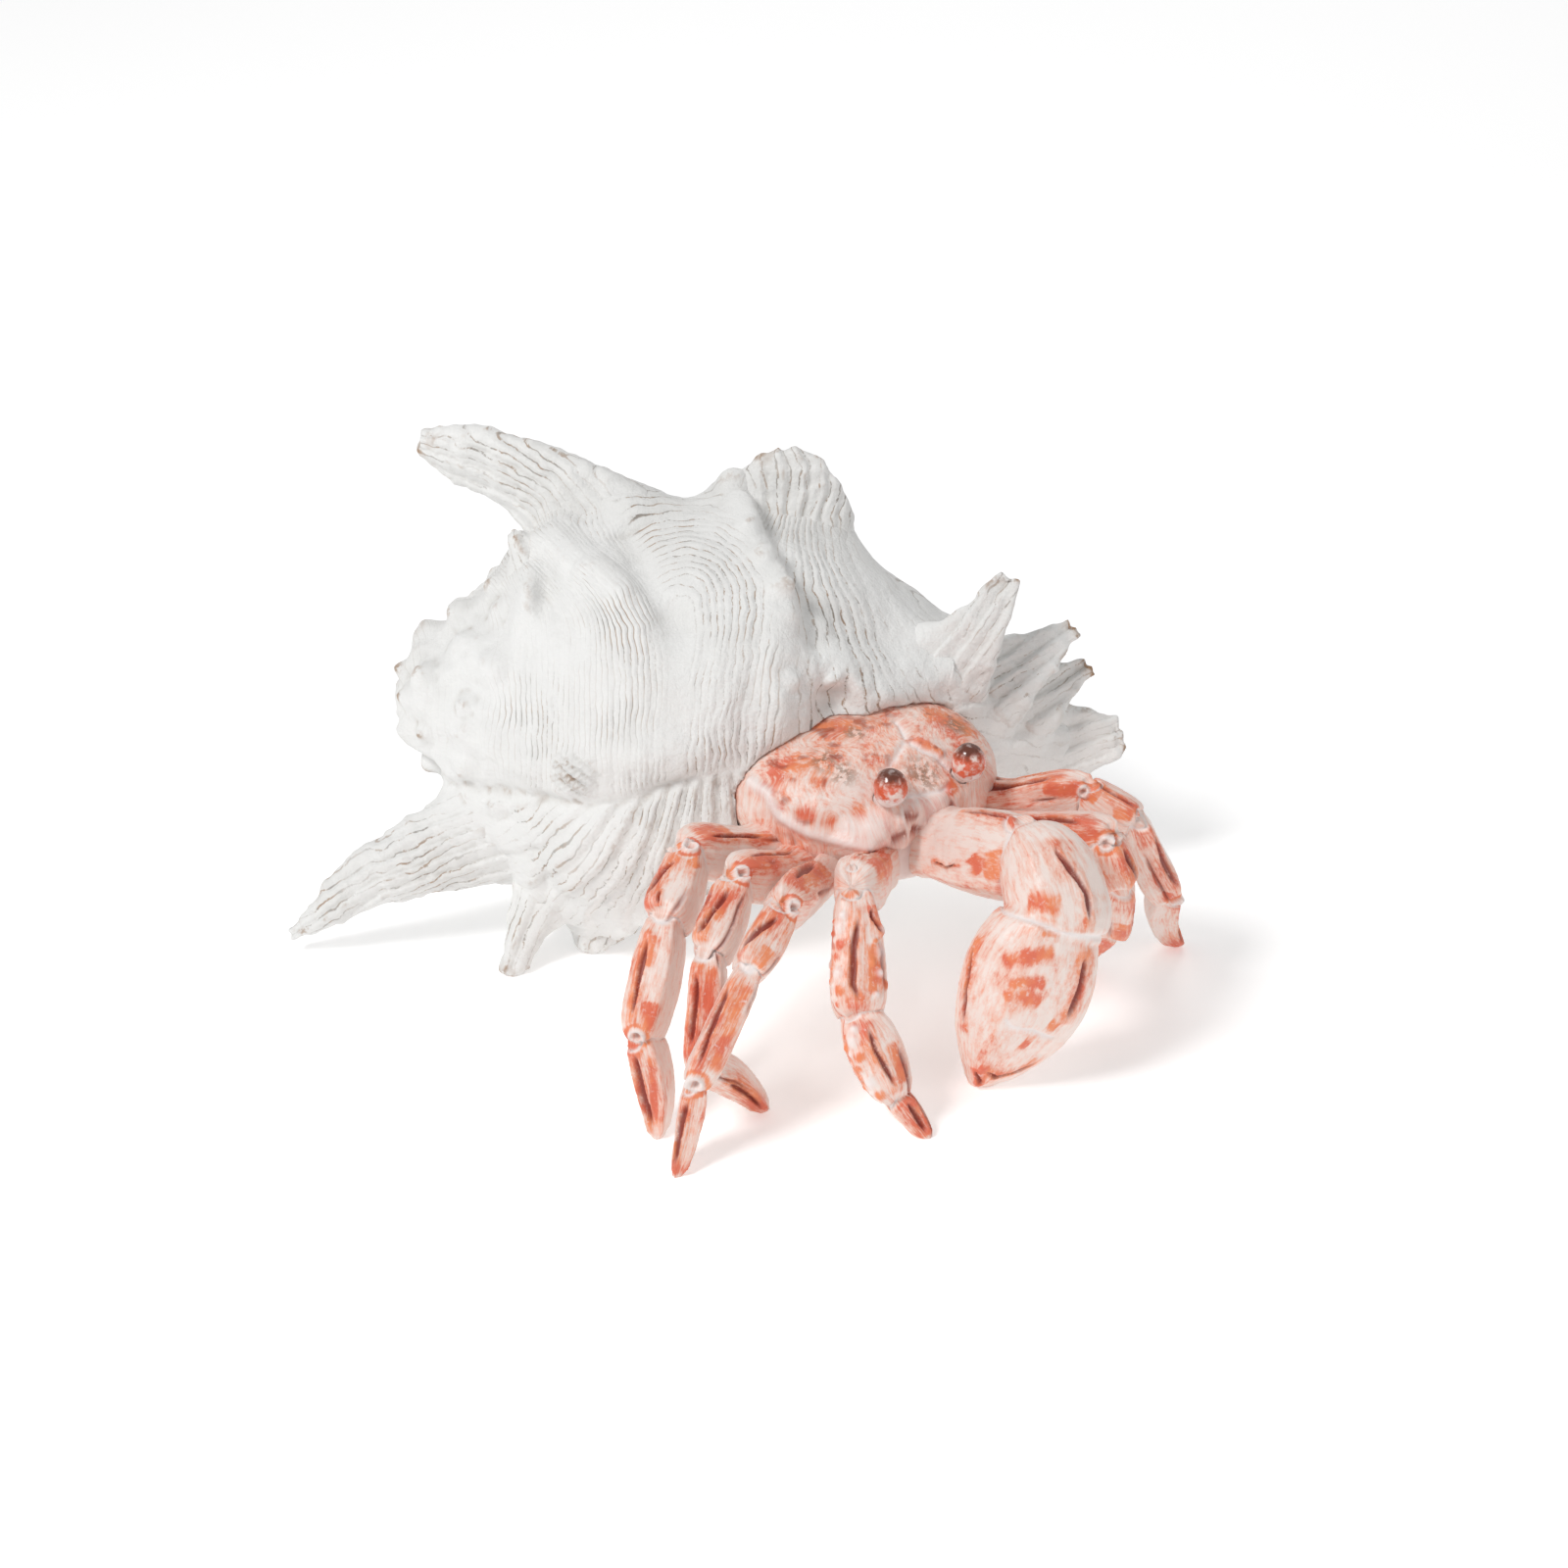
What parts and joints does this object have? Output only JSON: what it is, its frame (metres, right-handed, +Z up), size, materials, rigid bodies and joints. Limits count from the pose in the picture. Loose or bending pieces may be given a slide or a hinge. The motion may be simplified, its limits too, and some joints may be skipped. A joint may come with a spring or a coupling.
{
  "type": "hermit crab figurine",
  "caption": "Cast resin hermit crab standing on its legs with a raised claw, in a hollow spined sea shell; a table or garden ornament.",
  "frame": {"origin": "centre of the model's box on the ground it stands on", "axes": "+X along the shell from its pointed end to its mouth, +Y to the rear of the crab, +Z up"},
  "size_m": [0.3031, 0.2494, 0.1642],
  "materials": {
    "shell_paint": "matte off-white paint with brown wear on the ridges",
    "crab_paint": "white wash over coral and orange dry brushing",
    "eye_gloss": "gloss varnish, dark brown over orange",
    "pin_steel": "cut steel wire"
  },
  "bodies": {
    "root": {"shell_body": "shell_paint", "upper_long_spine": "shell_paint", "lower_long_spine": "shell_paint", "shoulder_spine": "shell_paint", "crest_frond": "shell_paint", "lip_frond_1": "shell_paint", "lip_frond_2": "shell_paint", "lip_frond_3": "shell_paint", "lip_frond_4": "shell_paint", "belly_spine_front": "shell_paint", "belly_spine_rear": "shell_paint", "rear_spine_left": "shell_paint", "rear_spine_right": "shell_paint", "crab_body": "crab_paint", "big_claw": "crab_paint", "small_claw": "crab_paint", "right_leg_1": "crab_paint", "right_leg_2": "crab_paint", "right_leg_3": "crab_paint", "left_leg_1": "crab_paint", "left_leg_2": "crab_paint", "left_eye": "eye_gloss", "right_eye": "eye_gloss", "leg_pins": "pin_steel", "spine_pins": "pin_steel"}
  },
  "joints": []
}
